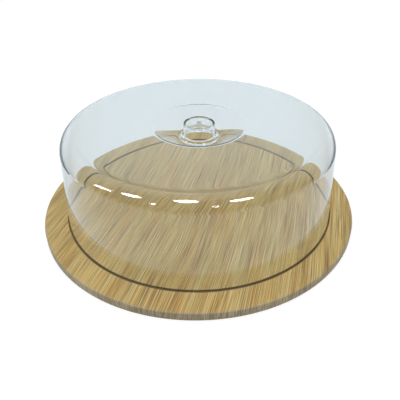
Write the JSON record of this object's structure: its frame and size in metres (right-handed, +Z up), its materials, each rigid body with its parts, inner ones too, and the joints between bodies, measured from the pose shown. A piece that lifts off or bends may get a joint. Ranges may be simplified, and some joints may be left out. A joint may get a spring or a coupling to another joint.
{
  "type": "cake stand dome",
  "caption": "Low clear plastic lid with a hollow knob moulded into a dish in its top, its rim standing in the ring groove of a thin round bamboo board.",
  "frame": {"origin": "middle of the board's flat underside", "axes": "+Z up along the axis that the board and the lid are turned about; X and Y lie in the underside, which is the same all round"},
  "size_m": [0.32, 0.32, 0.0967],
  "materials": {
    "bamboo": "satin sanded bamboo, fine straight grain",
    "clear_plastic": "polished clear moulding"
  },
  "bodies": {
    "board": {"bamboo_board": "bamboo"},
    "lid": {"domed_lid": "clear_plastic"}
  },
  "joints": [
    {"name": "lid_lift", "type": "slide", "parent": "board", "child": "lid", "axis": [0, 0, 1], "range_m": [0, 0.15]}
  ]
}
